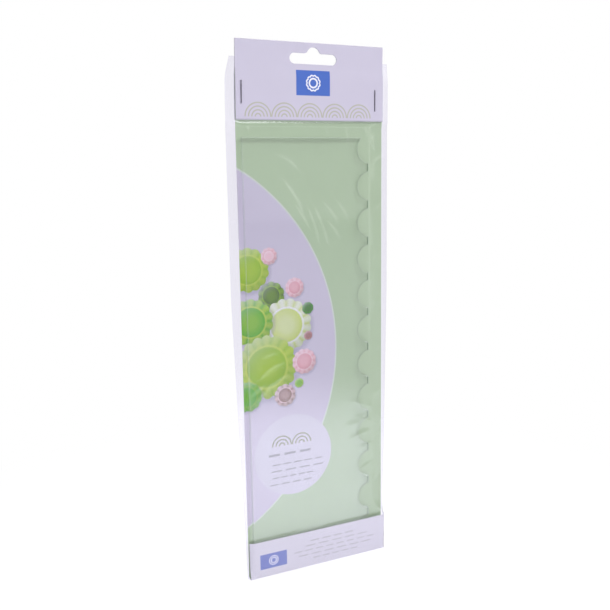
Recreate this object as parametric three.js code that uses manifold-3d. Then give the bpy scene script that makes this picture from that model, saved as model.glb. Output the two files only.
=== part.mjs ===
// A cake side scraper in its hanging retail pack: a clear acrylic plate with a scalloped edge stands in the
// folded foot of a printed card, inside a clear bag that a folded header card and two staples close.
// Millimetres, +Z up, the front faces -Y. The origin is where a shop's peg carries the pack: the top of the
// hang slot, midway through the header. The pieces are drawn from the foot of the card up, x = 0 in the
// middle of the cards, and the pack as a whole is then moved to that origin.

import * as THREE from 'three';
import { mergeVertices } from 'three/addons/utils/BufferGeometryUtils.js';
import Module from 'manifold-3d';

const wasm = await Module();
wasm.setup();

// Clearances
const layerGap = 0.2; // between two sheets that lie on each other
const bladeGap = 0.3; // between the loose blade and the sheets round it
const stapleGap = 0.2; // between a staple's crown or tips and the header
const legGap = 0.3; // round a staple's leg where it goes through a sheet

// Scraper blade
const bladeWidth = 85.5; // straight edge to the scallop tips
const bladeHeight = 284.5;
const bladeThickness = 3;
const scallopPitch = 23.65;
const scallopDepth = 7.7;
const scallopTip = 5.2; // flat tip between two bites
const firstTipDrop = 18.7; // top edge to the middle of the first tip
const bladeLift = 6; // how far the blade can rise in the bag

// Insert card
const insertCard = 0.4; // thickness
const bladeInset = 2.9; // card's left edge to the blade's straight edge
const tipMargin = 11.6; // scallop tips to the card's right edge
const flapHeight = 25.1;
const footFoldRadius = 0.9; // outside of the two folds at the foot
const slotMargin = 4; // insert's top edge to the hang slot above it

// Header card
const headerCard = 0.4; // thickness
const headerHeight = 46.1;
const throatRun = 3.85; // height over which the bag closes up below the header

// Hang slot
const slotWidth = 32;
const slotBarHeight = 6.4;
const humpRise = 3.6; // above the bar
const humpRadius = 4.5;
const humpFillet = 2;
const slotTopMargin = 2.6; // header's fold to the top of the slot
const slotShift = 1; // right of the header's middle

// Staples
const stapleCrown = 13.5;
const stapleWire = 0.6;
const stapleTip = 4.5; // length of a clinched tip
const leftStapleInset = 3.5; // header's left edge to the left staple
const leftStapleRise = 16.1; // header's lower edge to the left staple's middle
const rightStapleInset = 6.1;
const rightStapleRise = 13;

// Film bag
const filmThickness = 0.3;
const bagLeftMargin = 6.2; // past the cards
const bagRightMargin = 4.4;
const bagFootMargin = 1.1; // both sides, at the foot
const bagMouthMargin = 3.4; // both sides, at the mouth
const bagTaperHeight = 185; // the bag draws in below this height
const bagMouthDrop = 10; // header's fold to the bag's mouth
const bagMouthTaper = 11; // height over which the mouth draws in
const bagWeld = 0.6; // width of a side weld
const bagFootTuck = 0.3; // how far the bag's lower edges are drawn in
const bagDrape = 16; // height over which the film runs from the flap's ends in to the blade's edges

// Making
const cutOver = 2; // how far a cutting tool runs past what it cuts
const biteSides = 56; // sides of the full circle that a bite is cut from
const curveSides = 5; // steps in each round stretch of an outline

// Widths worked out from the blade that the pack holds
const cardWidth = bladeInset + bladeWidth + tipMargin;
const cardEdge = cardWidth / 2;
const bladeLeft = bladeInset - cardEdge;
const bladeRight = bladeLeft + bladeWidth;

// Depths, front to back: the header's sheets lie round y = 0, and the bag's back is level with the header's
const insertHalf = insertCard / 2;
const pinchedFilm = insertHalf + layerGap + filmThickness;
const headerInside = pinchedFilm + layerGap;
const headerOutside = headerInside + headerCard;
const bagBack = headerOutside;
const panelBack = bagBack - filmThickness - layerGap;
const panelFront = panelBack - insertCard;
const bladeBack = panelFront - bladeGap;
const bladeFront = bladeBack - bladeThickness;
const flapBack = bladeFront - bladeGap;
const flapFront = flapBack - insertCard;
const bagOverBlade = bladeFront - bladeGap - filmThickness;
const bagOverFlap = flapFront - layerGap - filmThickness;

// Heights from the foot of the card
const foldOutside = Math.min(footFoldRadius, (panelBack - flapFront) / 2);
const foldInside = Math.max(foldOutside - insertCard, 0.05);
const cornerOffset = Math.max(foldInside - bladeGap, 0);
const cornerRise = foldInside - Math.sqrt(foldInside ** 2 - cornerOffset ** 2);
const bladeBottom = insertCard + bladeGap + cornerRise;
const bladeTop = bladeBottom + bladeHeight;
const throatBottom = bladeTop + bladeLift + bladeGap;
const headerBottom = throatBottom + throatRun;
const throatTop = headerBottom - layerGap;
const headerTop = headerBottom + headerHeight;
const slotTop = headerTop - slotTopMargin;
const slotShoulder = slotTop - humpRise;
const slotBottom = slotShoulder - slotBarHeight;
const insertTop = slotBottom - slotMargin;
const bagMouth = headerTop - bagMouthDrop;
const flapCover = flapHeight + layerGap; // the bag steps out over the flap here
const flapStep = flapCover + bladeThickness;

const staples = {
  staple_left: { x: leftStapleInset - cardEdge, z: headerBottom + leftStapleRise },
  staple_right: { x: cardEdge - rightStapleInset, z: headerBottom + rightStapleRise },
};

// An outline in x and z becomes a plate between two depths.
function plate(outline, front, back) {
  const depth = back - front;
  const geometry = new THREE.ExtrudeGeometry(outline, { depth, bevelEnabled: false, curveSegments: curveSides });
  return geometry.rotateX(Math.PI / 2).translate(0, back, 0);
}

// A side profile in y and z becomes a strip between two places in x.
function strip(profile, left, right) {
  const depth = right - left;
  const geometry = new THREE.ExtrudeGeometry(profile, { depth, bevelEnabled: false, curveSegments: curveSides });
  const across = new THREE.Matrix4().makeBasis(
    new THREE.Vector3(0, 1, 0),
    new THREE.Vector3(0, 0, 1),
    new THREE.Vector3(1, 0, 0),
  );
  return geometry.applyMatrix4(across).translate(left, 0, 0);
}

function toSolid(geometry) {
  const bare = geometry.clone();
  bare.deleteAttribute('normal');
  bare.deleteAttribute('uv');
  const merged = mergeVertices(bare);
  return new wasm.Manifold(new wasm.Mesh({
    numProp: 3,
    vertProperties: new Float32Array(merged.attributes.position.array),
    triVerts: new Uint32Array(merged.index.array),
  }));
}

function cut(geometry, tools) {
  let body = toSolid(geometry);
  for (const tool of tools) body = body.subtract(toSolid(tool));
  const mesh = body.getMesh();
  const result = new THREE.BufferGeometry();
  result.setAttribute('position', new THREE.BufferAttribute(mesh.vertProperties, 3));
  result.setIndex(new THREE.BufferAttribute(mesh.triVerts, 1));
  result.computeVertexNormals();
  return result;
}

// Each bite of the scalloped edge is a round cut, deep enough to leave the flat tips between bites.
function scraperBlade() {
  const outline = new THREE.Shape();
  outline.moveTo(bladeLeft, bladeBottom);
  outline.lineTo(bladeRight, bladeBottom);
  outline.lineTo(bladeRight, bladeTop);
  outline.lineTo(bladeLeft, bladeTop);

  const halfChord = (scallopPitch - scallopTip) / 2;
  const radius = (halfChord ** 2 + scallopDepth ** 2) / (2 * scallopDepth);
  const biteX = bladeRight - scallopDepth + radius;
  const topBite = bladeTop - firstTipDrop + scallopPitch / 2;
  const bites = [];
  for (let z = topBite; z > bladeBottom - radius; z -= scallopPitch) {
    const bite = new THREE.CylinderGeometry(radius, radius, bladeThickness + 2 * cutOver, biteSides);
    bites.push(bite.translate(biteX, (bladeFront + bladeBack) / 2, z));
  }
  return cut(plate(outline, bladeFront, bladeBack), bites);
}

// The card hangs from the header, bends back below it and folds forward and up at the foot.
function insertCardSheet() {
  const frontFold = flapFront + foldOutside;
  const backFold = panelBack - foldOutside;
  const profile = new THREE.Shape();
  profile.moveTo(insertHalf, insertTop);
  profile.lineTo(insertHalf, throatTop);
  profile.lineTo(panelBack, throatBottom);
  profile.absarc(backFold, foldOutside, foldOutside, 0, -Math.PI / 2, true);
  profile.absarc(frontFold, foldOutside, foldOutside, -Math.PI / 2, -Math.PI, true);
  profile.lineTo(flapFront, flapHeight);
  profile.lineTo(flapBack, flapHeight);
  profile.absarc(frontFold, foldOutside, foldInside, -Math.PI, -Math.PI / 2, false);
  profile.absarc(backFold, foldOutside, foldInside, -Math.PI / 2, 0, false);
  profile.lineTo(panelFront, throatBottom);
  profile.lineTo(-insertHalf, throatTop);
  profile.lineTo(-insertHalf, insertTop);
  return cut(strip(profile, -cardEdge, cardEdge), legHoles());
}

// One sheet folded over the bag's mouth.
function headerCardSheet() {
  const foldMiddle = headerTop - headerOutside;
  const profile = new THREE.Shape();
  profile.moveTo(-headerOutside, headerBottom);
  profile.absarc(0, foldMiddle, headerOutside, Math.PI, 0, true);
  profile.lineTo(headerOutside, headerBottom);
  profile.lineTo(headerInside, headerBottom);
  profile.absarc(0, foldMiddle, headerInside, 0, Math.PI, false);
  profile.lineTo(-headerInside, headerBottom);
  return cut(strip(profile, -cardEdge, cardEdge), [hangSlot(), ...legHoles()]);
}

// A bar with round ends and a round hump that centres the pack on a peg, cut through every sheet.
function hangSlot() {
  const end = slotBarHeight / 2;
  const leftEnd = slotShift - slotWidth / 2 + end;
  const rightEnd = slotShift + slotWidth / 2 - end;
  const barMiddle = slotBottom + end;
  const humpMiddle = slotTop - humpRadius;
  const filletMiddle = slotShoulder + humpFillet;
  const filletReach = Math.sqrt((humpRadius + humpFillet) ** 2 - (filletMiddle - humpMiddle) ** 2);
  const meet = Math.atan2(filletMiddle - humpMiddle, filletReach);

  const outline = new THREE.Shape();
  outline.moveTo(leftEnd, slotBottom);
  outline.absarc(rightEnd, barMiddle, end, -Math.PI / 2, Math.PI / 2, false);
  outline.absarc(slotShift + filletReach, filletMiddle, humpFillet, -Math.PI / 2, meet - Math.PI, true);
  outline.absarc(slotShift, humpMiddle, humpRadius, meet, Math.PI - meet, false);
  outline.absarc(slotShift - filletReach, filletMiddle, humpFillet, -meet, -Math.PI / 2, true);
  outline.absarc(leftEnd, barMiddle, end, Math.PI / 2, Math.PI * 1.5, false);
  return plate(outline, -headerOutside - cutOver, headerOutside + cutOver);
}

function legHoles() {
  const side = stapleWire + 2 * legGap;
  const length = 2 * (headerOutside + cutOver);
  const holes = [];
  for (const { x, z } of Object.values(staples)) {
    for (const end of [-1, 1]) {
      const leg = z + end * (stapleCrown - stapleWire) / 2;
      holes.push(new THREE.BoxGeometry(side, length, side).translate(x, 0, leg));
    }
  }
  return holes;
}

// The crown lies on the header's front, the legs go through and the tips are clinched behind, towards each other.
function staple({ x, z }) {
  const half = stapleCrown / 2;
  const face = headerOutside + stapleGap;
  const outer = face + stapleWire;
  const profile = new THREE.Shape();
  profile.moveTo(-outer, z - half);
  profile.lineTo(outer, z - half);
  profile.lineTo(outer, z - half + stapleTip);
  profile.lineTo(face, z - half + stapleTip);
  profile.lineTo(face, z - half + stapleWire);
  profile.lineTo(-face, z - half + stapleWire);
  profile.lineTo(-face, z + half - stapleWire);
  profile.lineTo(face, z + half - stapleWire);
  profile.lineTo(face, z + half - stapleTip);
  profile.lineTo(outer, z + half - stapleTip);
  profile.lineTo(outer, z + half);
  profile.lineTo(-outer, z + half);
  return strip(profile, x - stapleWire / 2, x + stapleWire / 2);
}

// How far the bag stands past the cards at a height, for a side whose full margin is given.
function bagMargin(z, full) {
  const lower = bagFootMargin + (full - bagFootMargin) * Math.min(Math.max(z / bagTaperHeight, 0), 1);
  const upper = full + (bagMouthMargin - full) * Math.max((z - bagMouth + bagMouthTaper) / bagMouthTaper, 0);
  return Math.min(lower, upper);
}

// One ring round the bag, from its left weld along the front to the right weld and back along the back.
// inward is 0 on the outside and 1 on the inside of the film.
function bagRing({ z, front, back, leftFold, rightFold, weld }, inward) {
  const film = inward * filmThickness;
  const left = -cardEdge - bagMargin(z, bagLeftMargin) + inward * bagWeld;
  const right = cardEdge + bagMargin(z, bagRightMargin) - inward * bagWeld;
  const split = filmThickness * (1.5 - inward);
  const backFold = cardEdge + layerGap;
  const points = [
    [left, weld - split], [leftFold, front + film], [rightFold, front + film], [right, weld - split],
    [right, weld + split], [backFold, back - film], [-backFold, back - film], [left, weld + split],
  ];
  return points.map(([x, y]) => new THREE.Vector3(x, y, z));
}

// Rings of equal size joined one to the next, with a flat end at the first and the last.
function loft(rings) {
  const count = rings[0].length;
  const index = [];
  for (let r = 0; r + 1 < rings.length; r += 1) {
    for (let p = 0; p < count; p += 1) {
      const a = r * count + p;
      const b = r * count + (p + 1) % count;
      index.push(a, b, b + count, a, b + count, a + count);
    }
  }
  const last = (rings.length - 1) * count;
  for (let p = 1; p + 1 < count; p += 1) {
    index.push(0, p + 1, p, last, last + p, last + p + 1);
  }
  return new THREE.BufferGeometry().setFromPoints(rings.flat()).setIndex(index);
}

// Film pouch: flat under the header, out over the blade, out again over the flap, closed at the foot.
function filmBag() {
  const cards = { leftFold: -cardEdge - layerGap, rightFold: cardEdge + layerGap };
  const blade = { leftFold: bladeLeft - bladeGap, rightFold: bladeRight + bladeGap };
  const panelMiddle = (panelBack + panelFront) / 2;
  const pinched = { front: -pinchedFilm, back: pinchedFilm, weld: 0, ...cards };
  const overBlade = { front: bagOverBlade, back: bagBack, weld: panelMiddle, ...blade };
  const overFlap = { front: bagOverFlap, back: bagBack, weld: panelMiddle, ...cards };
  const foot = { ...overFlap, front: bagOverFlap + bagFootTuck, back: bagBack - bagFootTuck };
  const levels = [
    { z: foldOutside, ...overFlap },
    { z: flapCover, ...overFlap },
    { z: flapStep, ...overBlade, ...cards },
    { z: flapStep + bagDrape, ...overBlade },
    { z: bagTaperHeight, ...overBlade },
    { z: throatBottom, ...overBlade },
    { z: throatTop, ...pinched },
    { z: bagMouth - bagMouthTaper, ...pinched },
    { z: bagMouth, ...pinched },
  ];
  const outside = [{ z: -layerGap - filmThickness, ...foot }, ...levels].map((level) => bagRing(level, 0));
  const inside = [{ z: -layerGap, ...foot }, ...levels].map((level) => bagRing(level, 1)).reverse();
  return cut(loft([...outside, ...inside]), [hangSlot(), ...legHoles()]);
}

const clearAcrylic = { color: 0xdfeadf, roughness: 0.05, metalness: 0, transparent: true, opacity: 0.35 };
const clearFilm = { color: 0xe8e6f5, roughness: 0.1, metalness: 0, transparent: true, opacity: 0.2 };
const printedGreen = { color: 0xafc4a9, roughness: 0.55, metalness: 0 };
const paleLilac = { color: 0xd0cade, roughness: 0.6, metalness: 0 };
const stapleSteel = { color: 0x8c879b, roughness: 0.35, metalness: 0.9 };

const pack = new THREE.Group();
function addPiece(name, geometry, finish) {
  const mesh = new THREE.Mesh(geometry, new THREE.MeshStandardMaterial(finish));
  mesh.name = name;
  pack.add(mesh);
}

addPiece('scraper_blade', scraperBlade(), clearAcrylic);
addPiece('insert_card', insertCardSheet(), printedGreen);
addPiece('header_card', headerCardSheet(), paleLilac);
addPiece('film_bag', filmBag(), clearFilm);
for (const [name, place] of Object.entries(staples)) addPiece(name, staple(place), stapleSteel);

pack.position.set(-slotShift, 0, -slotTop);
const scraperPack = new THREE.Group();
scraperPack.add(pack);

export default scraperPack;
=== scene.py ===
import math
from collections import namedtuple

import bpy
from mathutils import Matrix, Vector, noise


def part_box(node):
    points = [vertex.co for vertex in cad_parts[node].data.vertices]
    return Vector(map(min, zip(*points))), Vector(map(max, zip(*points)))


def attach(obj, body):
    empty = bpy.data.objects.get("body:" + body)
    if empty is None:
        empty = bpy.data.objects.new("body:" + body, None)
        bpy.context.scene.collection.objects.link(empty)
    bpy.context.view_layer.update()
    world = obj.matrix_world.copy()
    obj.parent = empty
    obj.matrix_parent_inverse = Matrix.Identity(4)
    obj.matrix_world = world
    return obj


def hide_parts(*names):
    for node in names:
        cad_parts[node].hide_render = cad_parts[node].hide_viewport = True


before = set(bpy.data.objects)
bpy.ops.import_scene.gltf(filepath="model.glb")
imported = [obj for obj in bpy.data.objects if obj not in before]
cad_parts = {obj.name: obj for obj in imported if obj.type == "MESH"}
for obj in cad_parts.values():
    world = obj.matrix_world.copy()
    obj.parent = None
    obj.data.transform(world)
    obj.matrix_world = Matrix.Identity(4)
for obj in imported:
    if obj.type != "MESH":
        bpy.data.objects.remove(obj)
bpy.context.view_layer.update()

# A scalloped cake side scraper in its hanging shop pack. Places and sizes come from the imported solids.
# Drawn sizes are millimetres on the pack: x from the middle of the cards, y from the middle of the
# header's thickness towards the back, and z up from the foot of the printed card.

MM = 0.001
CARD = 0.4
FILM = 0.06

# Scalloped edge of the blade
SCALLOP_PITCH = 23.65
SCALLOP_DEPTH = 7.7
SCALLOP_TIP = 5.2
FIRST_TIP_DROP = 18.7
BLADE_EASE = 0.18

# Printed card, and the flap that its foot is folded into
FOOT_FOLD = 0.7
FLAP_TOP = 25.1
FLAP_TUCK = 1.6
FLAP_TUCK_RUN = 2.8
FLAP_TUCK_RISE = 5
INSERT_COLUMNS = 50
PANEL_ROWS = 24
SHORT_ROWS = 6
FOLD_STEPS = 6

# Header card, and the throat below it where the sheets come together
THROAT_RUN = 3.85
THROAT_GAP = 0.2
HEADER_BULGE = 0.35
HEADER_FLAT = 0.28
HEADER_PRESS_START = 8
HEADER_PRESS_END = 1
HEADER_LEAN_LEFT = 2.8
HEADER_LEAN_RIGHT = 0.5
HEADER_ROWS = 24
HEADER_COLUMNS = 20
HEADER_FOLD_STEPS = 12

# Hang slot
SLOT_WIDTH = 32
SLOT_BAR = 6.4
HUMP_RISE = 3.6
HUMP_RADIUS = 4.5
HUMP_FILLET = 2

# Bag
BAG_FOOT_MARGIN = 1.1
BAG_MOUTH_MARGIN = 3.4
BAG_TAPER = 185
BAG_MOUTH_TAPER = 11
BAG_DRAPE = 16
BAG_SLOT_GAP = 1
BAG_FOOT_SEAM = 0.1
FILM_THROAT = 4
FILM_OVER_BLADE = 0.32
FILM_OVER_FLAP = 0.18
FILM_BEHIND_CARD = 0.22
FILM_UNDER_HEADER = 0.16
FILM_LEAST_GAP = 0.05
FILM_PAST_BLADE = 0.3
FILM_PAST_CARD = 0.2
FLAP_STEP_START = 0.4
FLAP_STEP_END = 4
FILM_FRONT_COLUMNS = 150
FILM_BACK_COLUMNS = 24

# Rows of the film's points, from its mouth down: the step between rows and their number
MOUTH_ROWS = (4.5, 8)
THROAT_ROWS = (0.3, 26)
BLADE_ROWS = (1.36, 188)
FLAP_ROWS = (0.6, 14)
FOOT_ROWS = 14

# Staples
WIRE = 0.6
CLINCH = 4.5
CLINCH_SPRING = 0.15
CROWN_GAP = 0.15 * HEADER_BULGE
WIRE_BEND = 0.5

# Photograph's camera
CAMERA_PLACE = (-199.14, -429.8, 263.02)
CAMERA_TURN = -24.135
CAMERA_TILT = -10.006
CAMERA_ROLL = -0.931
CAMERA_LENS = 43.806
CAMERA_SENSOR = 36

Box = namedtuple("Box", "left right front back foot top")

card_low, card_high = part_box("insert_card")
MIDDLE = (card_low.x + card_high.x) / 2
FOOT = card_low.z


def at(x, y, z):
    """A place on the pack, in millimetres, as a point of the frame."""
    return Vector((MIDDLE + x * MM, y * MM, FOOT + z * MM))


def box_of(node):
    """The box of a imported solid, in millimetres on the pack."""
    low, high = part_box(node)
    return Box(
        (low.x - MIDDLE) / MM, (high.x - MIDDLE) / MM, low.y / MM, high.y / MM,
        (low.z - FOOT) / MM, (high.z - FOOT) / MM,
    )


BLADE = box_of("scraper_blade")
INSERT = box_of("insert_card")
HEADER = box_of("header_card")
BAG = box_of("film_bag")

# The frame's origin is the top of the hang slot.
SLOT_MIDDLE = -MIDDLE / MM
SLOT_TOP = -FOOT / MM
SLOT_SHOULDER = SLOT_TOP - HUMP_RISE
SLOT_FOOT = SLOT_SHOULDER - SLOT_BAR

PANEL = INSERT.back - CARD / 2
FLAP = INSERT.front + CARD / 2
THROAT_FOOT = HEADER.foot - THROAT_RUN
THROAT_TOP = HEADER.foot - THROAT_GAP


def ease(t):
    """A smooth step from 0 to 1."""
    t = min(max(t, 0), 1)
    return t * t * (3 - 2 * t)


def between(value, start, end):
    """How far a value has come from start to end, as a share."""
    return (value - start) / (end - start)


def lean(x, z):
    """How far the header, and what it holds, curls forward at a place: most at its top left corner."""
    rise = max((z - HEADER.foot) / (HEADER.top - HEADER.foot), 0)
    side = min(max((x - INSERT.left) / (INSERT.right - INSERT.left), 0), 1)
    return -(HEADER_LEAN_LEFT + (HEADER_LEAN_RIGHT - HEADER_LEAN_LEFT) * side) * rise ** 1.5


def header_half(z):
    """How far each half of the header lies from its middle. Above what it holds it is pressed flat."""
    full = HEADER.back - CARD / 2
    pressed = between(z, SLOT_FOOT - HEADER_PRESS_START, SLOT_FOOT - HEADER_PRESS_END)
    return full + (HEADER_FLAT - full) * ease(pressed)


def header_bow(x, z):
    """How far the header's front half bows forward over what it holds: most at the middle of its foot."""
    fold = HEADER.top - HEADER.back
    down = min(max((fold - z) / (fold - HEADER.foot), 0), 1)
    return HEADER_BULGE * max(1 - (x / INSERT.right) ** 2, 0) * down ** 2


def on_pack(point):
    """x and z of a point of the frame, in millimetres on the pack."""
    return (point.x - MIDDLE) / MM, (point.z - FOOT) / MM


# Modelling by hand

def deselect():
    bpy.ops.object.select_all(action="DESELECT")


def take_up(piece):
    """Selects one piece alone and makes it active."""
    deselect()
    piece.select_set(True)
    bpy.context.view_layer.objects.active = piece


def named(name):
    """Names the piece that was just added."""
    piece = bpy.context.object
    piece.name = name
    piece.data.name = name
    return piece


def settle(piece):
    """Puts a piece's place, turn and scale into its mesh."""
    take_up(piece)
    bpy.ops.object.transform_apply(location=True, rotation=True, scale=True)


def work(piece, kind, **settings):
    """Adds a modifier to a piece and applies it."""
    take_up(piece)
    modifier = piece.modifiers.new(kind.title(), kind)
    for key, value in settings.items():
        setattr(modifier, key, value)
    bpy.ops.object.modifier_apply(modifier=modifier.name)


def pick_points(piece, chosen):
    """Selects the points of a piece for which chosen(point) holds, and leaves it in edit mode."""
    take_up(piece)
    bpy.ops.object.mode_set(mode="EDIT")
    bpy.ops.mesh.select_mode(type="VERT")
    bpy.ops.mesh.select_all(action="DESELECT")
    bpy.ops.object.mode_set(mode="OBJECT")
    for point in piece.data.vertices:
        point.select = chosen(point.co)
    bpy.ops.object.mode_set(mode="EDIT")


def leave_edit():
    bpy.ops.object.mode_set(mode="OBJECT")


def block(name, box):
    """A cube stretched to a box."""
    deselect()
    middle = at((box.left + box.right) / 2, (box.front + box.back) / 2, (box.foot + box.top) / 2)
    bpy.ops.mesh.primitive_cube_add(size=1, location=middle)
    piece = named(name)
    piece.scale = Vector((box.right - box.left, box.back - box.front, box.top - box.foot)) * MM
    settle(piece)
    return piece


def join(pieces):
    """Joins pieces into the first."""
    take_up(pieces[0])
    for piece in pieces:
        piece.select_set(True)
    bpy.ops.object.join()
    return pieces[0]


def cut(piece, tool):
    """Takes a closed tool out of a piece and throws the tool away."""
    work(piece, "BOOLEAN", operation="DIFFERENCE", solver="EXACT", object=tool)
    bpy.data.objects.remove(tool)


def smooth(piece, degrees):
    take_up(piece)
    bpy.ops.object.shade_smooth_by_angle(angle=math.radians(degrees))


def arc(middle, radius, start, end, steps):
    """Points (across, up) along an arc, its angles in degrees from across."""
    turns = [math.radians(start + (end - start) * i / steps) for i in range(steps + 1)]
    return [(middle[0] + radius * math.cos(a), middle[1] + radius * math.sin(a)) for a in turns]


def folded_sheet(name, profile, columns, finishes):
    """A card drawn by pulling one edge of an upright strip along a folded line of (y, z) points."""
    (y0, z0), (_, z1) = profile[:2]
    deselect()
    upright = (math.radians(90), 0, 0)
    bpy.ops.mesh.primitive_plane_add(size=1, location=at(0, y0, (z0 + z1) / 2), rotation=upright)
    piece = named(name)
    piece.scale = Vector((INSERT.right - INSERT.left, abs(z1 - z0), MM)) * MM
    settle(piece)
    leading = at(0, 0, z1).z
    pick_points(piece, lambda point: abs(point.z - leading) < 0.01 * MM)
    for (y, z), (next_y, next_z) in zip(profile[1:], profile[2:]):
        step = Vector((0, next_y - y, next_z - z)) * MM
        bpy.ops.mesh.extrude_region_move(TRANSFORM_OT_translate={"value": step})
    for i in range(1, columns):
        bpy.ops.mesh.select_all(action="SELECT")
        x = INSERT.left + (INSERT.right - INSERT.left) * i / columns
        bpy.ops.mesh.bisect(plane_co=at(x, 0, 0), plane_no=(1, 0, 0))
    leave_edit()
    for finish in finishes:
        piece.data.materials.append(finish)
    return piece


def thicken(piece):
    """Gives a card its thickness: the second material on its reverse and the third on its cut edges."""
    work(
        piece, "SOLIDIFY", thickness=CARD * MM, offset=0, use_even_offset=True,
        material_offset=1, material_offset_rim=2,
    )


# Pieces

# Order of the blade's finishes
SHEET_FACE, LEFT_EDGE, CUT_EDGE, TIP_EDGE, TOP_EDGE = range(5)


def acrylic_blade(finishes):
    """A clear plate whose right edge is cut by a row of round bites that leave flat tips between them."""
    blade = block("acrylic_blade", BLADE)
    half_chord = (SCALLOP_PITCH - SCALLOP_TIP) / 2
    radius = (half_chord ** 2 + SCALLOP_DEPTH ** 2) / (2 * SCALLOP_DEPTH)
    bite_x = BLADE.right - SCALLOP_DEPTH + radius
    middle_y = (BLADE.front + BLADE.back) / 2
    z = BLADE.top - FIRST_TIP_DROP + SCALLOP_PITCH / 2
    bites = []
    while z > BLADE.foot - radius:
        deselect()
        bpy.ops.mesh.primitive_cylinder_add(
            vertices=128, radius=radius * MM, depth=3 * (BLADE.back - BLADE.front) * MM,
            location=at(bite_x, middle_y, z), rotation=(math.radians(90), 0, 0),
        )
        bites.append(named("bite"))
        settle(bites[-1])
        z -= SCALLOP_PITCH
    cut(blade, join(bites))
    work(blade, "BEVEL", width=BLADE_EASE * MM, segments=2, limit_method="ANGLE",
         angle_limit=math.radians(30), use_clamp_overlap=True)
    for finish in finishes:
        blade.data.materials.append(finish)
    tip_x = at(BLADE.right - BLADE_EASE / 2, 0, 0).x
    top_z = at(0, 0, BLADE.top - BLADE_EASE).z
    for face in blade.data.polygons:
        if abs(face.normal.y) > 0.99:
            face.material_index = SHEET_FACE
        elif face.normal.x < -0.5:
            face.material_index = LEFT_EDGE
        elif face.center.z > top_z:
            face.material_index = TOP_EDGE
        else:
            face.material_index = TIP_EDGE if face.center.x > tip_x else CUT_EDGE
    smooth(blade, 20)
    return blade


def printed_insert(finishes):
    """The card behind the blade: under the header, down the back, and folded up in front of the foot."""
    low = FOOT_FOLD + CARD / 2
    profile = [(0, INSERT.top + (THROAT_TOP - INSERT.top) * i / SHORT_ROWS) for i in range(SHORT_ROWS + 1)]
    profile += [(PANEL, THROAT_FOOT - (THROAT_FOOT - low) * i / PANEL_ROWS) for i in range(PANEL_ROWS)]
    profile += arc((PANEL - FOOT_FOLD, low), FOOT_FOLD, 0, -90, FOLD_STEPS)
    profile += arc((FLAP + FOOT_FOLD, low), FOOT_FOLD, -90, -180, FOLD_STEPS)
    profile += [(FLAP, FLAP_TOP * (i + 1) / SHORT_ROWS) for i in range(SHORT_ROWS)]
    card = folded_sheet("printed_insert", profile, INSERT_COLUMNS, finishes)
    flap_front = (FLAP + CARD / 4) * MM
    for point in card.data.vertices:
        x, z = on_pack(point.co)
        on_flap = ease((z - low) / FLAP_TUCK_RISE) * (point.co.y < flap_front)
        tuck = FLAP_TUCK * ease((INSERT.left + FLAP_TUCK_RUN - x) / FLAP_TUCK_RUN) * on_flap
        point.co.y += (lean(x, z) + tuck) * MM
    thicken(card)
    smooth(card, 35)
    return card


def slot_tool():
    """A closed block in the shape of the hang slot, long enough to pass through the whole header."""
    end = SLOT_BAR / 2
    left = SLOT_MIDDLE - SLOT_WIDTH / 2 + end
    right = SLOT_MIDDLE + SLOT_WIDTH / 2 - end
    bar = SLOT_FOOT + end
    hump = SLOT_TOP - HUMP_RADIUS
    fillet = SLOT_SHOULDER + HUMP_FILLET
    aside = math.sqrt((HUMP_RADIUS + HUMP_FILLET) ** 2 - (fillet - hump) ** 2)
    meet = math.degrees(math.atan2(fillet - hump, aside))
    outline = arc((right, bar), end, -90, 90, 16)
    outline += arc((SLOT_MIDDLE + aside, fillet), HUMP_FILLET, -90, meet - 180, 8)
    outline += arc((SLOT_MIDDLE, hump), HUMP_RADIUS, meet, 180 - meet, 16)[1:-1]
    outline += arc((SLOT_MIDDLE - aside, fillet), HUMP_FILLET, -meet, -90, 8)
    outline += arc((left, bar), end, 90, 270, 16)
    deselect()
    bpy.ops.mesh.primitive_circle_add(vertices=len(outline), fill_type="NGON")
    tool = named("slot_tool")
    for point, (x, z) in zip(tool.data.vertices, outline):
        point.co = at(x, 3 * HEADER.front, z)
    pick_points(tool, lambda point: True)
    through = Vector((0, 3 * (HEADER.back - HEADER.front), 0)) * MM
    bpy.ops.mesh.extrude_region_move(TRANSFORM_OT_translate={"value": through})
    bpy.ops.mesh.select_all(action="SELECT")
    bpy.ops.mesh.normals_make_consistent(inside=False)
    leave_edit()
    return tool


def folded_header(finishes):
    """One card folded over the bag's mouth, its front half bowed a little over what it holds."""
    fold = HEADER.top - CARD / 2 - HEADER_FLAT
    heights = [HEADER.foot + (fold - HEADER.foot) * i / HEADER_ROWS for i in range(HEADER_ROWS)]
    front = [(-header_half(z), z) for z in heights]
    back = [(header_half(z), z) for z in reversed(heights)]
    over = [(-y, z) for y, z in arc((0, fold), HEADER_FLAT, 0, 180, HEADER_FOLD_STEPS)]
    header = folded_sheet("folded_header", front + over + back, HEADER_COLUMNS, finishes)
    for face in header.data.polygons:
        face.material_index = 0 if face.center.y < 0 else 1
    for point in header.data.vertices:
        x, z = on_pack(point.co)
        bow = header_bow(x, z) if point.co.y < 0 else 0
        point.co.y += (lean(x, z) - bow) * MM
    thicken(header)
    cut(header, slot_tool())
    smooth(header, 35)
    return header


def rounded(points, radius, steps):
    """A line of points with each inner corner turned into a small arc."""
    line = [Vector(points[0])]
    for before, corner, after in zip(points, points[1:], points[2:]):
        corner = Vector(corner)
        start = corner + (Vector(before) - corner).normalized() * radius
        end = corner + (Vector(after) - corner).normalized() * radius
        for i in range(steps + 1):
            t = i / steps
            line.append(start * (1 - t) ** 2 + corner * 2 * t * (1 - t) + end * t ** 2)
    line.append(Vector(points[-1]))
    return line


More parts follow.
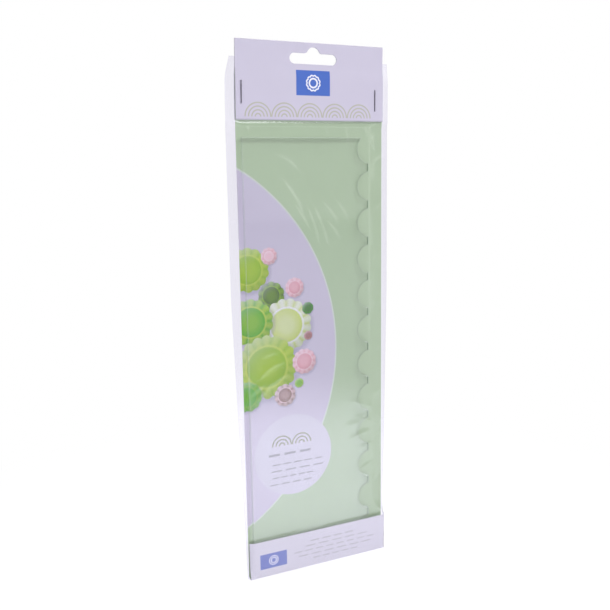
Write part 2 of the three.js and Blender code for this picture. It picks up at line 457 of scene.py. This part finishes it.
def staple(name, node):
    """A wire staple: its crown in front, its legs through the sheets, its tips turned in behind."""
    box = box_of(node)
    x = (box.left + box.right) / 2
    low, high = box.foot + WIRE / 2, box.top - WIRE / 2
    front = HEADER.front - CROWN_GAP - WIRE / 2
    back = HEADER.back + WIRE / 2
    tip = back + CLINCH_SPRING
    bend = [
        (x, tip, low + CLINCH), (x, back, low), (x, front, low),
        (x, front, high), (x, back, high), (x, tip, high - CLINCH),
    ]
    line = rounded(bend, WIRE_BEND, 5)
    deselect()
    bpy.ops.curve.primitive_bezier_curve_add()
    wire = named(name)
    wire.data.splines.clear()
    path = wire.data.splines.new("POLY")
    path.points.add(len(line) - 1)
    for point, (_, y, z) in zip(path.points, line):
        point.co = (*at(x, y + lean(x, z), z), 1)
    wire.data.bevel_depth = WIRE / 2 * MM
    wire.data.bevel_resolution = 4
    wire.data.use_fill_caps = True
    take_up(wire)
    bpy.ops.object.convert(target="MESH")
    wire = named(name)
    smooth(wire, 40)
    return wire


# Film of the bag

# Each crease runs from x, z to x, z with a sideways bow, and stands proud by a rise with a half width,
# all in millimetres.
CREASES = [
    (1, 35.2, 47, 36.8, 1.2, 0.3, 1.1),
    (-22, 27.5, 9, 30, 0, 0.25, 1.3),
    (-47, 126, -28, 133, 2, 0.42, 1.5),
    (-44, 119, -19, 138, 3, 0.42, 1.6),
    (-42, 134, -20, 146, 3, 0.36, 1.5),
    (-40, 150, -26, 152, 1, 0.3, 1.4),
    (20, 95, 37, 100, -1.5, 0.8, 1.5),
    (22, 84, 40, 89, 1, 0.6, 1.3),
    (24, 112, 41, 105, 1, 0.7, 1.4),
    (27, 101, 41, 94, 1, 0.6, 1.2),
    (30, 76, 42, 80, 1, 0.5, 1.2),
    (29, 60, 43, 66, 1, 0.5, 1.2),
    (-29, 274, -10, 262, 2.5, 0.4, 1.6),
    (41.5, 287, 46, 276, -0.8, 0.55, 1.3),
    (-44.5, 293, -43.5, 287, 0, 0.35, 0.9),
]
# A fan of creases over the upper middle, where the bag is drawn up under the header.
CREASES += [
    (-30, 266, 1.5, 219.5, 0, 0.55, 1.5),
    (-25, 263, -8, 238, 0.6, 0.5, 1.3),
    (-7, 244, 2, 219, 0.6, 0.5, 1.2),
    (-2.5, 244, 8.5, 217, 0.6, 0.5, 1.2),
    (2, 247, 16, 231, 0.6, 0.4, 1.3),
    (5, 235, 17, 221, 0.6, 0.42, 1.2),
    (12, 247, 23, 233, 0.6, 0.3, 1.3),
]
# Short pleats below the header, and puckers along the right weld.
CREASES += [(-36 + 14 * i, 293, -34 + 14 * i, 280 + 4 * (i % 2), 0.6, 0.12, 1.6) for i in range(6)]
CREASES += [(42, 52 + 31 * i, 53, 57 + 31 * i, 0, 0.35, 1.3) for i in range(8)]


def bag_margin(z, full):
    """How far the bag stands past the cards at a height, on a side whose full margin is given."""
    lower = BAG_FOOT_MARGIN + (full - BAG_FOOT_MARGIN) * min(max(z / BAG_TAPER, 0), 1)
    upper = full + (BAG_MOUTH_MARGIN - full) * max(between(z, BAG.top - BAG_MOUTH_TAPER, BAG.top), 0)
    return min(lower, upper)


def crease_height(x, z):
    """How far the creases lift the film at a place."""
    height = 0
    for x0, z0, x1, z1, bow, rise, width in CREASES:
        length = math.hypot(x1 - x0, z1 - z0)
        share = ((x - x0) * (x1 - x0) + (z - z0) * (z1 - z0)) / length ** 2
        if 0 < share < 1:
            aside = ((z - z0) * (x1 - x0) - (x - x0) * (z1 - z0)) / length - 4 * bow * share * (1 - share)
            height += rise * math.sin(math.pi * share) * math.exp(-(aside / width) ** 2)
    return height


def ripple(x, z, size, seed):
    return noise.noise(Vector((x / size, z / size, seed)))


def film_pinch(z):
    """How far the header has drawn the film's front and back together at a height."""
    return min(max(between(z, THROAT_TOP - FILM_THROAT, THROAT_TOP), 0), 1) ** 2


def film_front(x, z, held):
    """Depth of the film's front, and the x where it turns back at each side."""
    pinch = film_pinch(z)
    flap = 1 - ease(between(z, FLAP_TOP + FLAP_STEP_START, FLAP_TOP + FLAP_STEP_END))
    proud = BLADE.front - FILM_OVER_BLADE
    base = proud + (INSERT.front - FILM_OVER_FLAP - proud) * flap
    base += (-held - header_bow(x, z) - base) * pinch
    drape = max(1 - ease(between(z, FLAP_TOP, FLAP_TOP + BAG_DRAPE)), pinch)
    left_fold = BLADE.left - FILM_PAST_BLADE + (INSERT.left - BLADE.left) * drape
    right_fold = BLADE.right + FILM_PAST_BLADE + (INSERT.right - BLADE.right) * drape
    return base, left_fold, right_fold


def film_back(z, held):
    """Depth of the film's back, and the x where it turns forward at each side."""
    base = INSERT.back + FILM_BEHIND_CARD
    base += (held - base) * film_pinch(z)
    return base, INSERT.left - FILM_PAST_CARD, INSERT.right + FILM_PAST_CARD


def film_lift(x, z, past):
    """How far the film stands off what it covers: broad and small ripples, and more past the cards."""
    lift = 0.1 + 0.1 * ripple(x, z, 26, 2.3) + 0.05 * ripple(x, z, 9, 7.1)
    return lift + 0.35 * ease(past * 3) * (0.5 + ripple(x, z, 15, 4.7))


def film_place(share, z):
    """Where the bag's film lies. A share of 0 to 1 runs over its front, from the left, and 1 to 2 back."""
    left = INSERT.left - bag_margin(z, INSERT.left - BAG.left)
    right = INSERT.right + bag_margin(z, BAG.right - INSERT.right)
    slack = 1 - film_pinch(z)
    held = max(header_half(z) - CARD / 2 - FILM_UNDER_HEADER, FILM_LEAST_GAP)
    on_front = share < 1
    x = left + (right - left) * (share if on_front else 2 - share)
    base, left_fold, right_fold = film_front(x, z, held) if on_front else film_back(z, held)
    past = 0
    if x < left_fold:
        past = between(x, left_fold, left)
    if x > right_fold:
        past = between(x, right_fold, right)
    fall = 1.05 * past * past / (past + 0.05)
    y = base + (PANEL * slack - base) * fall
    loose = slack * min(1, 6 * (1 - past)) * ease(z / 12)
    lift = film_lift(x, z, past)
    if on_front:
        y -= loose * (lift + crease_height(x, z))
    else:
        y += loose * lift * 0.4
    return x, y + lean(x, z), z


def rows_below(start, step, count):
    return [start - step * (i + 1) for i in range(count)]


def film_rows():
    """Heights of the bag's rows of points, closest where it bends."""
    rows = [BAG.top, *rows_below(BAG.top, MOUTH_ROWS[0], MOUTH_ROWS[1] - 1)]
    rows += rows_below(THROAT_TOP + 1 + THROAT_ROWS[0], *THROAT_ROWS)
    rows += rows_below(rows[-1], *BLADE_ROWS)
    rows += rows_below(rows[-1], *FLAP_ROWS)
    rows += rows_below(rows[-1], rows[-1] / FOOT_ROWS, FOOT_ROWS)
    return rows


def clear_bag():
    """A thin film sleeve, welded at both sides and the foot and open at the mouth under the header."""
    rows = film_rows()
    columns = FILM_FRONT_COLUMNS + FILM_BACK_COLUMNS
    deselect()
    bpy.ops.mesh.primitive_grid_add(x_subdivisions=columns, y_subdivisions=len(rows), size=1)
    bag = named("clear_bag")
    foot_middle = (INSERT.front + INSERT.back) / 2
    for point in bag.data.vertices:
        column = round((point.co.x + 0.5) * columns)
        on_back = max(column - FILM_FRONT_COLUMNS, 0)
        share = min(column / FILM_FRONT_COLUMNS, 1) + on_back / FILM_BACK_COLUMNS
        row = round((0.5 - point.co.y) * len(rows))
        if row < len(rows):
            point.co = at(*film_place(share, rows[row]))
        else:
            x, _, _ = film_place(share, 0)
            point.co = at(x, foot_middle, BAG.foot + BAG_FOOT_SEAM)
    slot_low = at(0, 0, SLOT_FOOT - BAG_SLOT_GAP).z
    slot_side = (SLOT_WIDTH / 2 + BAG_SLOT_GAP) * MM
    pick_points(bag, lambda point: point.z > slot_low and abs(point.x) < slot_side)
    bpy.ops.mesh.delete(type="VERT")
    bpy.ops.mesh.select_all(action="SELECT")
    bpy.ops.mesh.remove_doubles(threshold=0.01 * MM)
    bpy.ops.mesh.normals_make_consistent(inside=False)
    leave_edit()
    work(bag, "SOLIDIFY", thickness=FILM * MM, offset=0)
    smooth(bag, 60)
    return bag


# Finishes

def srgb(red, green, blue):
    """A colour as it looks on screen, from 0 to 255, as the shader's own numbers."""
    def linear(value):
        share = value / 255
        return share / 12.92 if share <= 0.04045 else ((share + 0.055) / 1.055) ** 2.4
    return (linear(red), linear(green), linear(blue), 1)


class Tone:
    """A value that changes over a surface. Arithmetic on it adds Math nodes, so it is for numbers only."""

    def __init__(self, finish, socket):
        self.finish = finish
        self.socket = socket

    def math(self, operation, *values, clamp=False):
        settings = {"operation": operation, "use_clamp": clamp}
        return self.finish.node("ShaderNodeMath", settings, dict(enumerate(values)))

    def __add__(self, other):
        return self.math("ADD", self, other)

    def __radd__(self, other):
        return self.math("ADD", other, self)

    def __sub__(self, other):
        return self.math("SUBTRACT", self, other)

    def __rsub__(self, other):
        return self.math("SUBTRACT", other, self)

    def __mul__(self, other):
        return self.math("MULTIPLY", self, other)

    def __rmul__(self, other):
        return self.math("MULTIPLY", other, self)

    def __truediv__(self, other):
        return self.math("DIVIDE", self, other)

    def __rtruediv__(self, other):
        return self.math("DIVIDE", other, self)

    def __abs__(self):
        return self.math("ABSOLUTE", self)

    def least(self, other):
        return self.math("MINIMUM", self, other)

    def most(self, other):
        return self.math("MAXIMUM", self, other)

    def wrap(self, length):
        return self.math("FLOORED_MODULO", self, length)

    def sine(self):
        return self.math("SINE", self)

    def filled(self, soft=0.15):
        """1 where the value is above zero and 0 below, over an edge as soft as print."""
        return self.math("MULTIPLY_ADD", self, 1 / soft, 0.5, clamp=True)


class Finish:
    """A material, or the world, and the nodes that make its look."""

    def __init__(self, owner):
        self.owner = owner
        owner.use_nodes = True
        self.tree = owner.node_tree
        self.tree.nodes.clear()

    def node(self, kind, settings=None, inputs=None, out=0):
        """Adds a node: its settings first, then the values or links of its sockets by name or number."""
        made = self.tree.nodes.new(kind)
        for key, value in (settings or {}).items():
            setattr(made, key, value)
        for key, value in (inputs or {}).items():
            if isinstance(value, Tone):
                self.tree.links.new(value.socket, made.inputs[key])
            else:
                made.inputs[key].default_value = value
        return Tone(self, made.outputs[out])

    def place(self):
        """x, y and z on the pack in millimetres."""
        point = self.node("ShaderNodeTexCoord", out="Object")
        axes = [self.node("ShaderNodeSeparateXYZ", inputs={0: point}, out=axis) for axis in "XYZ"]
        return (axes[0] - MIDDLE) / MM, axes[1] / MM, (axes[2] - FOOT) / MM

    def grain(self, size, detail=3):
        """Noise from 0 to 1 with features about as large as size, in millimetres."""
        point = self.node("ShaderNodeTexCoord", out="Object")
        inputs = {"Vector": point, "Scale": 1 / (size * MM), "Detail": detail}
        return self.node("ShaderNodeTexNoise", {"noise_dimensions": "3D"}, inputs)

    def over(self, under, colour, mask):
        """A colour laid over another through a mask."""
        settings = {"data_type": "RGBA", "clamp_factor": True}
        return self.node("ShaderNodeMix", settings, {0: mask, 6: under, 7: colour}, out=2)

    def bump(self, height, strength, distance):
        inputs = {"Height": height, "Strength": strength, "Distance": distance * MM}
        return self.node("ShaderNodeBump", inputs=inputs)

    def ramp(self, value, start, end, first, last):
        """A smooth step from one value to another."""
        return self.node("ShaderNodeMapRange", {"interpolation_type": "SMOOTHSTEP"}, {
            "Value": value, "From Min": start, "From Max": end, "To Min": first, "To Max": last,
        })

    def light_path(self, *kinds):
        """1 for a ray of any of the kinds that Light Path names."""
        found = [self.node("ShaderNodeLightPath", out=f"Is {kind} Ray") for kind in kinds]
        total = found[0]
        for other in found[1:]:
            total = total.most(other)
        return total

    def passing(self, colour):
        """Lets light of a colour straight through."""
        return self.node("ShaderNodeBsdfTransparent", inputs={"Color": colour})

    def blended(self, share, first, second):
        return self.node("ShaderNodeMixShader", inputs={0: share, 1: first, 2: second})

    def ends_in(self, shader):
        kind = "World" if isinstance(self.owner, bpy.types.World) else "Material"
        output = self.tree.nodes.new(f"ShaderNodeOutput{kind}")
        self.tree.links.new(shader.socket, output.inputs["Surface"])
        return self.owner


def finish_named(name):
    return Finish(bpy.data.materials.new(name))


# Print on the cards

CARD_GREEN = srgb(181, 201, 168)
HEADER_LILAC = srgb(202, 197, 217)
LILAC = srgb(205, 198, 216)
PALE_LILAC = srgb(219, 216, 226)
SPOT_LILAC = srgb(211, 208, 221)
BLUE = srgb(80, 111, 194)
SOFT_BLUE = srgb(122, 134, 197)
WHITE_INK = srgb(236, 235, 246)
SAGE_INK = srgb(182, 181, 168)
SPOT_INK = srgb(150, 152, 126)
# Grey ink for the printed dashes, also laid as painted shade along the header's cut foot.
GREY_INK_AND_PAINTED_SHADE = srgb(134, 132, 142)
FAINT_INK = srgb(184, 182, 188)
LIME = srgb(196, 212, 92)
LEAF = srgb(146, 188, 52)
GRASS = srgb(82, 172, 54)
DEEP_LEAF = srgb(78, 104, 62)
ROSE = srgb(222, 156, 168)
BLUSH = srgb(240, 212, 222)
BROWN = srgb(136, 104, 88)
SHADE = srgb(150, 146, 172)
BARE_BOARD = srgb(226, 224, 232)
WHITE = srgb(255, 255, 255)

# Lilac lens and pale spot on the printed card: x, z and radius
LENS = (-120.5, 151.3, 135)
SPOT = (-16.8, 80.65, 27.5)

# Blue panels: left, right, low and high
HEADER_BADGE = (-10.9, 12, 310.4, 325.3)
FLAP_BADGE = (-43.4, -24.4, 5.6, 16)

# Rows of fans: left, right, low, number of fans, rings in each and stroke
HEADER_FANS = (-44.6, 40.9, 297.4, 5, 4, 0.75)
SPOT_FANS = (-32, -4, 88, 2, 3, 0.85)

# Rows of dashes: left, right, middle, height and dash
SPOT_BARS = [
    (-36, -2, 82.2, 1.6, 11), (-33, 5, 75.4, 0.8, 7.6), (-34, 6, 71, 0.8, 10),
    (-33, -2, 66.4, 0.8, 6.2), (-35, -3, 61.8, 0.8, 8),
]
FLAP_BARS = [
    (-8, 27, 18.4, 1, 8.7), (-12, 38, 15.2, 0.9, 10), (-20, 43, 12, 0.9, 7.9),
    (-17, 41, 8.8, 0.9, 9.6), (-6, 30, 5.6, 0.9, 7.2),
]

# Scalloped plates of the printed picture: x, z, radius, lobes, colour and ring colour.
PLATES = [
    (-30, 188, 9, 10, DEEP_LEAF, LEAF),
    (-45, 205, 14, 14, LEAF, LIME),
    (-20, 168, 17.5, 16, LIME, WHITE_INK),
    (-44, 172, 15, 14, GRASS, LIME),
    (-34, 142, 21, 18, LEAF, LIME),
    (-8, 143, 8.5, 12, ROSE, BLUSH),
    (-48, 124, 10, 12, GRASS, LEAF),
    (-14, 192, 6.5, 10, ROSE, BLUSH),
    (-22, 122, 7.5, 10, BROWN, BLUSH),
    (-31, 213, 5.5, 10, BLUSH, ROSE),
    (-5, 178, 4, 8, DEEP_LEAF, GRASS),
    (-5, 160, 3, 8, BROWN, ROSE),
    (-12, 129, 3.2, 8, GRASS, LIME),
]


def reach(a, b):
    squares = a * a + b * b
    return squares.math("SQRT", squares)


def disc(x, z, middle_x, middle_z, radius):
    """Depth inside a disc."""
    return radius - reach(x - middle_x, z - middle_z)


def panel(x, z, left, right, low, high):
    """Depth inside an upright rectangle."""
    across = (right - left) / 2 - abs(x - (left + right) / 2)
    up = (high - low) / 2 - abs(z - (low + high) / 2)
    return across.least(up)


def plate_edge(x, z, middle_x, middle_z, radius, lobes):
    """Depth inside a round plate with a scalloped rim."""
    across, up = x - middle_x, z - middle_z
    turn = up.math("ARCTAN2", up, across)
    rim = abs((turn * (lobes / 2)).sine()) * (0.1 * radius) + 0.9 * radius
    return rim - reach(across, up)


def fluted_plate(finish, colour, x, z, middle_x, middle_z, radius, lobes, fill, light):
    """A round plate seen from above, with a soft shade, a fluted rim, a raised ring and a shallow well."""
    across, up = (x - middle_x) / radius, (z - middle_z) / radius
    turn = up.math("ARCTAN2", up, across)
    spread = reach(across, up)
    flute = abs((turn * (lobes / 2)).sine())
    lit = (up * 0.8 - across * 0.6) * spread
    edge = 0.92 + flute * 0.08 - spread
    shade = reach(across - 0.07, up + 0.1)
    colour = finish.over(colour, SHADE, (1.02 - shade).filled(0.16) * 0.45)
    on_plate = edge.filled(0.15 / radius)
    colour = finish.over(colour, fill, on_plate)
    rim = (spread - 0.66).filled(0.05) * on_plate
    colour = finish.over(colour, light, rim * (0.15 + 0.5 * flute))
    colour = finish.over(colour, light, (0.035 - abs(spread - 0.66)).filled(0.03) * 0.8)
    colour = finish.over(colour, light, (0.5 - spread).filled(0.5) * 0.35)
    colour = finish.over(colour, WHITE_INK, lit.most(0) * on_plate * 0.4)
    return finish.over(colour, DEEP_LEAF, (0 - lit).most(0) * on_plate * 0.35)


def fan_row(x, z, left, right, low, fans, rings, stroke):
    """A row of fans, each of nested half rings, along a level line."""
    pitch = (right - left) / fans
    gap = pitch / 2 / rings
    aside = (x - left).wrap(pitch) - pitch / 2
    inward = pitch / 2 - reach(aside, z - low)
    ring = stroke / 2 - abs((inward - stroke / 2 + gap / 2).wrap(gap) - gap / 2)
    fan = inward.least(z - low)
    return ring.least(fan).least((x - left).least(right - x)).filled()


def bars(x, z, rows):
    """Plain level rows of dashes, each row with dashes of one length."""
    depth = None
    for left, right, middle, height, dash in rows:
        row = panel(x, z, left, right, middle - height / 2, middle + height / 2)
        row = row.least(0.36 * dash - abs((x - left).wrap(dash) - dash / 2))
        depth = row if depth is None else depth.most(row)
    return depth.filled(0.25)


def badge(finish, colour, x, z, box, blue):
    """A plain blue panel with a white plate drawn in it."""
    left, right, low, high = box
    middle_x, middle_z = (left + right) / 2, (low + high) / 2
    radius = (high - low) * 0.34
    colour = finish.over(colour, blue, panel(x, z, left, right, low, high).filled())
    rim = plate_edge(x, z, middle_x, middle_z, radius, 12)
    ring = (radius * 0.09 - abs(rim - radius * 0.09)).filled()
    colour = finish.over(colour, WHITE_INK, ring)
    inner = radius * 0.1 - abs(disc(x, z, middle_x, middle_z, radius * 0.52))
    return finish.over(colour, WHITE_INK, inner.filled())


def card_surface(finish, colour, roughness=0.5):
    """Smooth card: fine fibres in its colour, gloss and relief."""
    fibre = finish.grain(0.6, 4)
    cloud = finish.grain(22, 2)
    shade = finish.node("ShaderNodeHueSaturation", inputs={
        "Value": 0.975 + cloud * 0.03 + fibre * 0.02, "Color": colour,
    })
    return finish.ends_in(finish.node("ShaderNodeBsdfPrincipled", inputs={
        "Base Color": shade,
        "Roughness": roughness - 0.06 + fibre * 0.12,
        "Specular IOR Level": 0.35,
        "Normal": finish.bump(fibre, 0.25, 0.04),
    }))


def header_print():
    """Lilac card with a row of fans, a blue panel, and painted shade: a darker line along its cut foot."""
    finish = finish_named("header_print")
    x, _, z = finish.place()
    colour = finish.over(HEADER_LILAC, SAGE_INK, fan_row(x, z, *HEADER_FANS))
    # Painted shade: a darker line along the header's cut foot, where its lower edge is in shadow.
    colour = finish.over(colour, GREY_INK_AND_PAINTED_SHADE, (HEADER.foot + 0.6 - z).filled(0.4) * 0.4)
    colour = badge(finish, colour, x, z, HEADER_BADGE, BLUE)
    return card_surface(finish, colour)


def insert_print():
    """Pale green card with a lilac lens, a picture of scalloped plates and a pale spot."""
    finish = finish_named("insert_print")
    x, _, z = finish.place()
    lens = disc(x, z, *LENS)
    colour = finish.over(CARD_GREEN, WHITE_INK, (0.6 - abs(lens + 0.4)).filled(0.4) * 0.5)
    colour = finish.over(colour, LILAC, lens.filled())
    for plate in PLATES:
        colour = fluted_plate(finish, colour, x, z, *plate)
    colour = finish.over(colour, SPOT_LILAC, disc(x, z, *SPOT).filled())
    colour = finish.over(colour, SPOT_INK, fan_row(x, z, *SPOT_FANS))
    colour = finish.over(colour, GREY_INK_AND_PAINTED_SHADE, bars(x, z, SPOT_BARS) * 0.75)
    return card_surface(finish, colour, 0.42)


def insert_reverse():
    """Reverse of the printed card, which shows on the flap at the foot."""
    finish = finish_named("insert_reverse")
    x, y, z = finish.place()
    on_flap = (-1 - y).filled()
    printed = badge(finish, PALE_LILAC, x, z, FLAP_BADGE, SOFT_BLUE)
    printed = finish.over(printed, FAINT_INK, bars(x, z, FLAP_BARS) * 0.7)
    colour = finish.over(PALE_LILAC, printed, on_flap)
    return card_surface(finish, colour, 0.45)


def plain_board():
    finish = finish_named("plain_board")
    return card_surface(finish, HEADER_LILAC, 0.6)


def cut_board():
    finish = finish_named("cut_board")
    return card_surface(finish, BARE_BOARD, 0.7)


def clear_acrylic():
    """Polished clear sheet with faint handling marks. Light on the card behind passes straight through."""
    finish = finish_named("clear_acrylic")
    wear = finish.grain(9, 4)
    sheet = finish.node("ShaderNodeBsdfPrincipled", inputs={
        "Base Color": WHITE,
        "Roughness": 0.015 + wear * 0.03,
        "IOR": 1.49,
        "Transmission Weight": 1,
    })
    lit = finish.passing(srgb(253, 254, 253))
    return finish.ends_in(finish.blended(finish.light_path("Shadow", "Diffuse"), sheet, lit))


EDGE_TINT = srgb(250, 252, 250)
# The tips' darker tint is painted shade: it stands in for the shaded card that the tip faces show by
# internal reflection.
TIP_PAINTED_SHADE = srgb(206, 216, 206)
FROST_WITHIN = 0.08


def cut_acrylic(name, tint, outside, passed_in, passed_out):
    """Cut edge of the sheet: frosted by a share from outside and a little from within the sheet. It passes
    a share of the light that goes in or out there and turns the rest aside, which shades the card."""
    finish = finish_named(name)
    saw = finish.grain(0.7, 3)
    # The tint is the edge's own faint colour; on the tips it is painted shade.
    through = finish.passing(tint)
    frost = finish.node("ShaderNodeBsdfPrincipled", inputs={
        "Base Color": srgb(226, 234, 226),
        "Roughness": 0.25 + saw * 0.2,
        "Normal": finish.bump(saw, 0.3, 0.05),
    })
    going_in = finish.passing((passed_in, passed_in, passed_in, 1))
    going_out = finish.passing((passed_out, passed_out, passed_out, 1))
    within = finish.node("ShaderNodeNewGeometry", out="Backfacing")
    edge = finish.blended(outside - (outside - FROST_WITHIN) * within, through, frost)
    lit = finish.blended(within, going_out, going_in)
    return finish.ends_in(finish.blended(finish.light_path("Shadow", "Diffuse"), edge, lit))


def clear_film():
    """Thin glossy film with a faint lilac cast."""
    finish = finish_named("clear_film")
    pucker = finish.grain(16, 2)
    relief = finish.bump(pucker, 0.2, 0.3)
    through = finish.passing(srgb(253, 252.5, 255))
    gloss = finish.node("ShaderNodeBsdfPrincipled", inputs={
        "Base Color": srgb(252, 251, 255),
        "Metallic": 1,
        "Roughness": 0.14 + pucker * 0.1,
        "Normal": relief,
    })
    slant = finish.node("ShaderNodeLayerWeight", inputs={"Blend": 0.5}, out="Facing")
    sheen = 0.04 + 0.96 * slant.math("POWER", slant, 5)
    lit = finish.passing(srgb(252, 252, 254))
    film = finish.blended(sheen, through, gloss)
    return finish.ends_in(finish.blended(finish.light_path("Shadow", "Diffuse"), film, lit))


def staple_wire():
    """Drawn steel wire, dulled in streaks."""
    finish = finish_named("staple_wire")
    streak = finish.grain(0.8, 3)
    return finish.ends_in(finish.node("ShaderNodeBsdfPrincipled", inputs={
        "Base Color": finish.over(srgb(120, 116, 132), srgb(168, 164, 178), streak),
        "Metallic": 1,
        "Roughness": 0.3 + streak * 0.2,
        "Normal": finish.bump(streak, 0.2, 0.03),
    }))


# Stage

# Lamps: name, place and size in metres, and watts
LAMPS = [
    ("key", (0.7, -1.0, 0.9), 0.3, 0.3, 11.2),
    ("overhead", (0.35, -0.2, 0.65), 0.5, 0.4, 1.2),
    ("low_front", (-0.25, -0.6, -0.24), 0.5, 0.2, 1.5),
]

FLOOR_SIZE = 8
FLOOR_DROP = 35
FLOOR_PALE = (0.8, 0.8, 0.81, 1)
FLOOR_IN_SHADE = (0.2, 0.2, 0.2, 1)
FLOOR_GLOW = 0.91
FLOOR_MIRRORED = (0.95, 0.95, 1.05, 1)


def camera():
    eye = bpy.data.objects.new("photo_camera", bpy.data.cameras.new("photo_camera"))
    bpy.context.scene.collection.objects.link(eye)
    eye.data.sensor_width = CAMERA_SENSOR
    eye.data.lens = CAMERA_LENS
    eye.data.clip_start = 0.01
    turn = Matrix.Rotation(math.radians(CAMERA_TURN), 4, "Z")
    tilt = Matrix.Rotation(math.radians(90 + CAMERA_TILT), 4, "X")
    roll = Matrix.Rotation(math.radians(CAMERA_ROLL), 4, "Z")
    eye.matrix_world = Matrix.Translation(at(*CAMERA_PLACE)) @ turn @ tilt @ roll
    bpy.context.scene.camera = eye


def lamp(name, place, width, height, watts):
    """A soft lamp that looks at the middle of the pack. Neither gloss nor the clear sheet shows it."""
    light = bpy.data.lights.new(name, "AREA")
    light.shape = "RECTANGLE"
    light.size, light.size_y = width, height
    light.energy = watts
    holder = bpy.data.objects.new(name, light)
    bpy.context.scene.collection.objects.link(holder)
    holder.location = Vector(place)
    aim = at(0, 0, HEADER.top / 2) - holder.location
    holder.rotation_euler = aim.to_track_quat("-Z", "Y").to_euler()
    holder.visible_glossy = False
    holder.visible_transmission = False


def tall_light(finish, side):
    """Strength of a tall light at the front right that only gloss shows, by the sine of the bearing."""
    return finish.ramp(side, 0.5, 0.56, 0, 0.9) * finish.ramp(side, 0.7, 0.8, 1, 0)


def floor():
    """A pale floor, white to the eye, that keeps the pack's soft shadow. What gloss mirrors of it is a lit
    table in front of the pack, a dim floor far away and the foot of the tall light."""
    deselect()
    bpy.ops.mesh.primitive_plane_add(size=FLOOR_SIZE, location=at(0, 0, INSERT.foot - FLOOR_DROP))
    ground = named("floor")
    finish = finish_named("pale_floor")
    bare = finish.node("ShaderNodeBsdfDiffuse", inputs={"Color": FLOOR_PALE})
    shaded = finish.node("ShaderNodeBsdfDiffuse", inputs={"Color": FLOOR_IN_SHADE})
    glow = finish.node("ShaderNodeEmission", inputs={"Color": WHITE, "Strength": FLOOR_GLOW})
    white = finish.node("ShaderNodeEmission", inputs={"Color": WHITE, "Strength": 1.0})
    near = finish.node("ShaderNodeAddShader", inputs={0: glow, 1: shaded})
    x, y, _ = finish.place()
    away = reach(x, y)
    shown = finish.blended(finish.ramp(away, 180, 420, 0, 1), near, white)
    table = finish.ramp(away, 330, 640, 1, 0) * finish.ramp(away, 60, 170, 0.9, 1.5)
    table = table * finish.ramp(0 - y / away, 0.2, 0.55, 0.1, 1)
    far_floor = finish.ramp(away, 600, 4000, 0.4, 0.15)
    light_foot = tall_light(finish, x / away) * finish.ramp(away, 600, 1200, 0, 1)
    strength = table + far_floor + light_foot
    mirrored = finish.node("ShaderNodeEmission", inputs={"Color": FLOOR_MIRRORED, "Strength": strength})
    seen = finish.blended(finish.light_path("Camera", "Transmission"), bare, shown)
    whole = finish.blended(finish.light_path("Glossy"), seen, mirrored)
    ground.data.materials.append(finish.ends_in(whole))


def sky():
    """White to the eye. It fills the pack with soft light, most from behind. What gloss mirrors of it is a
    low band, a patch overhead and the tall light."""
    world = bpy.data.worlds.new("studio")
    bpy.context.scene.world = world
    finish = Finish(world)
    point = finish.node("ShaderNodeTexCoord", out="Generated")
    side, back, up = [finish.node("ShaderNodeSeparateXYZ", inputs={0: point}, out=axis) for axis in "XYZ"]
    low_band = finish.ramp(up, 0.05, 0.24, 0.15, 0.9) * finish.ramp(up, 0.35, 0.55, 1, 0.1)
    overhead = finish.ramp(up, 0.88, 0.98, 0, 10)
    strength = low_band + overhead + tall_light(finish, side)
    fill = finish.ramp(back, 0.1, 0.9, 0.25, 1.45)
    soft = finish.node("ShaderNodeBackground", inputs={"Color": WHITE, "Strength": fill})
    mirrored = finish.node("ShaderNodeBackground", inputs={"Color": WHITE, "Strength": strength})
    white = finish.node("ShaderNodeBackground", inputs={"Color": WHITE, "Strength": 1.0})
    shown = finish.blended(finish.light_path("Glossy"), soft, mirrored)
    finish.ends_in(finish.blended(finish.light_path("Camera", "Transmission"), shown, white))


def studio():
    for settings in LAMPS:
        lamp(*settings)
    sky()
    floor()
    bpy.context.scene.view_settings.view_transform = "Standard"


# The pack

def dress(piece, node, body, slot, *materials):
    """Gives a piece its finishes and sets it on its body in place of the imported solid."""
    for material in materials:
        piece.data.materials.append(material)
    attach(piece, body)
    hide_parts(node)


camera()

edges = cut_board()
insert = printed_insert([insert_print(), insert_reverse(), edges])
header = folded_header([header_print(), plain_board(), edges, edges])
dress(insert, "insert_card", "pack", "printed_card")
dress(header, "header_card", "pack", "header_board")
left_edge = cut_acrylic("left_acrylic", EDGE_TINT, FROST_WITHIN, 0.8, 0.8)
cut_edge = cut_acrylic("cut_acrylic", EDGE_TINT, 0.8, 0.7, 0.6)
# The tip faces get a darker tint, which is painted shade.
tip_edge = cut_acrylic("tip_acrylic", TIP_PAINTED_SHADE, 0.8, 0.6, 0.6)
top_edge = cut_acrylic("top_acrylic", EDGE_TINT, 0.8, 0.3, 1)
blade = acrylic_blade([clear_acrylic(), left_edge, cut_edge, tip_edge, top_edge])
dress(blade, "scraper_blade", "blade", "clear_acrylic")
dress(clear_bag(), "film_bag", "pack", "clear_film", clear_film())

wire = staple_wire()
for side in ("left", "right"):
    dress(staple(f"wire_staple_{side}", f"staple_{side}"), f"staple_{side}", "pack", "staple_wire", wire)

studio()
